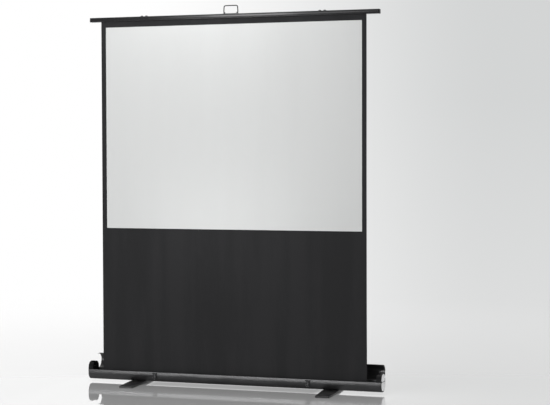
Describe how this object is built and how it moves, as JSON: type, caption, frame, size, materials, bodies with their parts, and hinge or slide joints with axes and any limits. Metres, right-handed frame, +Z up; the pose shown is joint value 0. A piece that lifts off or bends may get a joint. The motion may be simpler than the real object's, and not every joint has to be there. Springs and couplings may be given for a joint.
{
  "type": "projection screen",
  "caption": "Portable floor-standing projection screen: roll-up picture cloth on folding arms, hinged tubular case, wire handle and swivel feet.",
  "frame": {"origin": "on the floor under the middle of the case, at the bottom centre of the whole object", "axes": "+X to the picture's right as the viewer sees it, +Y away from the viewer, +Z up"},
  "size_m": [1.838, 0.4794, 2.2417],
  "materials": {
    "case_metal": "satin black powder coat on extruded shell",
    "black_metal": "satin black anodised extrusion",
    "black_plastic": "fine-grained moulded black",
    "foot_plastic": "moulded black with a soft sheen",
    "grey_plastic": "light grey moulded cover",
    "black_cloth": "matt black coated screen cloth",
    "white_cloth": "matt white coated picture surface",
    "bright_steel": "plated steel",
    "dark_steel": "black-plated steel",
    "plain_aluminium": "mill-finish tube",
    "rubber": "matt black rubber"
  },
  "bodies": {
    "base": {"housing_shell": "case_metal", "lid_hinge_rod": "bright_steel", "end_cap_left": "black_plastic", "end_cap_right": "black_plastic", "end_cover_left": "grey_plastic", "end_cover_right": "grey_plastic", "roller_bush_left": "bright_steel", "roller_bush_right": "bright_steel", "spring_shaft": "bright_steel", "screen_fabric": "black_cloth", "picture_surface": "white_cloth", "base_bracket_left": "dark_steel", "base_bracket_right": "dark_steel", "base_pin_left": "bright_steel", "base_pin_right": "bright_steel", "foot_pin_left": "bright_steel", "foot_pin_right": "bright_steel", "latch_base_left": "dark_steel", "latch_base_right": "dark_steel"},
    "lid": {"housing_lid": "case_metal", "lid_edge_seal": "rubber", "lid_keeper_left": "bright_steel", "lid_keeper_right": "bright_steel"},
    "roller": {"roller_tube": "plain_aluminium", "roller_plug_left": "black_plastic", "roller_plug_right": "black_plastic", "roller_spring": "dark_steel"},
    "left_lower_link": {"lower_arm_left": "black_metal", "elbow_pin_left": "bright_steel", "elbow_washer_left": "bright_steel"},
    "left_upper_link": {"upper_arm_left": "black_metal"},
    "right_lower_link": {"lower_arm_right": "black_metal", "elbow_pin_right": "bright_steel", "elbow_washer_right": "bright_steel"},
    "right_upper_link": {"upper_arm_right": "black_metal"},
    "bar": {"top_bar": "black_metal", "bar_plug_left": "black_plastic", "bar_plug_right": "black_plastic", "hem_rod": "dark_steel", "handle_plate": "black_metal", "top_bracket_left": "dark_steel", "top_bracket_right": "dark_steel", "bracket_screw_left_outer": "dark_steel", "bracket_screw_left_inner": "dark_steel", "bracket_screw_right_outer": "dark_steel", "bracket_screw_right_inner": "dark_steel", "top_pin_left": "bright_steel", "top_pin_right": "bright_steel"},
    "handle": {"handle_bail": "dark_steel"},
    "left_foot": {"foot_left": "foot_plastic", "foot_pad_left_front": "rubber", "foot_pad_left_rear": "rubber"},
    "right_foot": {"foot_right": "foot_plastic", "foot_pad_right_front": "rubber", "foot_pad_right_rear": "rubber"},
    "left_latch": {"latch_lever_left": "dark_steel"},
    "right_latch": {"latch_lever_right": "dark_steel"},
    "left_loop": {"latch_loop_left": "bright_steel"},
    "right_loop": {"latch_loop_right": "bright_steel"}
  },
  "joints": [
    {"name": "screen_fold", "type": "hinge", "parent": "base", "child": "left_lower_link", "pos_m": [-0.557, -0.009, 0.0795], "axis": [0, 1, 0], "range_deg": [0, 75], "deforming": ["screen_fabric", "picture_surface"]},
    {"name": "elbow_left", "type": "hinge", "parent": "left_lower_link", "child": "left_upper_link", "pos_m": [-0.27958, -0.0048, 1.11485], "axis": [0, 1, 0], "range_deg": [-150, 0]},
    {"name": "bar_level", "type": "hinge", "parent": "left_upper_link", "child": "bar", "pos_m": [-0.557, -0.0006, 2.1502], "axis": [0, 1, 0], "range_deg": [0, 75]},
    {"name": "base_pivot_right", "type": "hinge", "parent": "base", "child": "right_lower_link", "pos_m": [0.557, 0.0162, 0.0795], "axis": [0, 1, 0], "range_deg": [-75, 0]},
    {"name": "elbow_right", "type": "hinge", "parent": "right_lower_link", "child": "right_upper_link", "pos_m": [0.27958, 0.012, 1.11485], "axis": [0, 1, 0], "range_deg": [0, 150]},
    {"name": "roller_spin", "type": "hinge", "parent": "base", "child": "roller", "pos_m": [0, -0.0035, 0.0465], "axis": [1, 0, 0], "range_deg": [0, 6015]},
    {"name": "lid_hinge", "type": "hinge", "parent": "base", "child": "lid", "pos_m": [0, 0.0482, 0.07452], "axis": [1, 0, 0], "range_deg": [0, 33]},
    {"name": "handle_fold", "type": "hinge", "parent": "bar", "child": "handle", "pos_m": [0, -0.0062, 2.1975], "axis": [1, 0, 0], "range_deg": [-90, 0]},
    {"name": "foot_swivel_left", "type": "hinge", "parent": "base", "child": "left_foot", "pos_m": [-0.605, 0, 0.007], "axis": [0, 0, 1], "range_deg": [0, 85]},
    {"name": "foot_swivel_right", "type": "hinge", "parent": "base", "child": "right_foot", "pos_m": [0.605, 0, 0.007], "axis": [0, 0, 1], "range_deg": [-95, 0]},
    {"name": "latch_lever_hinge_left", "type": "hinge", "parent": "base", "child": "left_latch", "pos_m": [-0.48, -0.0508, 0.0676], "axis": [1, 0, 0], "range_deg": [-120, 0]},
    {"name": "latch_lever_hinge_right", "type": "hinge", "parent": "base", "child": "right_latch", "pos_m": [0.48, -0.0508, 0.0676], "axis": [1, 0, 0], "range_deg": [-120, 0]},
    {"name": "latch_loop_hinge_left", "type": "hinge", "parent": "left_latch", "child": "left_loop", "pos_m": [-0.48, -0.0553, 0.0576], "axis": [1, 0, 0], "range_deg": [-100, 0]},
    {"name": "latch_loop_hinge_right", "type": "hinge", "parent": "right_latch", "child": "right_loop", "pos_m": [0.48, -0.0553, 0.0576], "axis": [1, 0, 0], "range_deg": [-100, 0]}
  ],
  "couplings": [
    {"joint": "elbow_left", "follows": "screen_fold", "ratio": -2},
    {"joint": "bar_level", "follows": "screen_fold", "ratio": 1},
    {"joint": "base_pivot_right", "follows": "screen_fold", "ratio": -1},
    {"joint": "elbow_right", "follows": "screen_fold", "ratio": 2},
    {"joint": "roller_spin", "follows": "screen_fold", "ratio": 80.2}
  ]
}
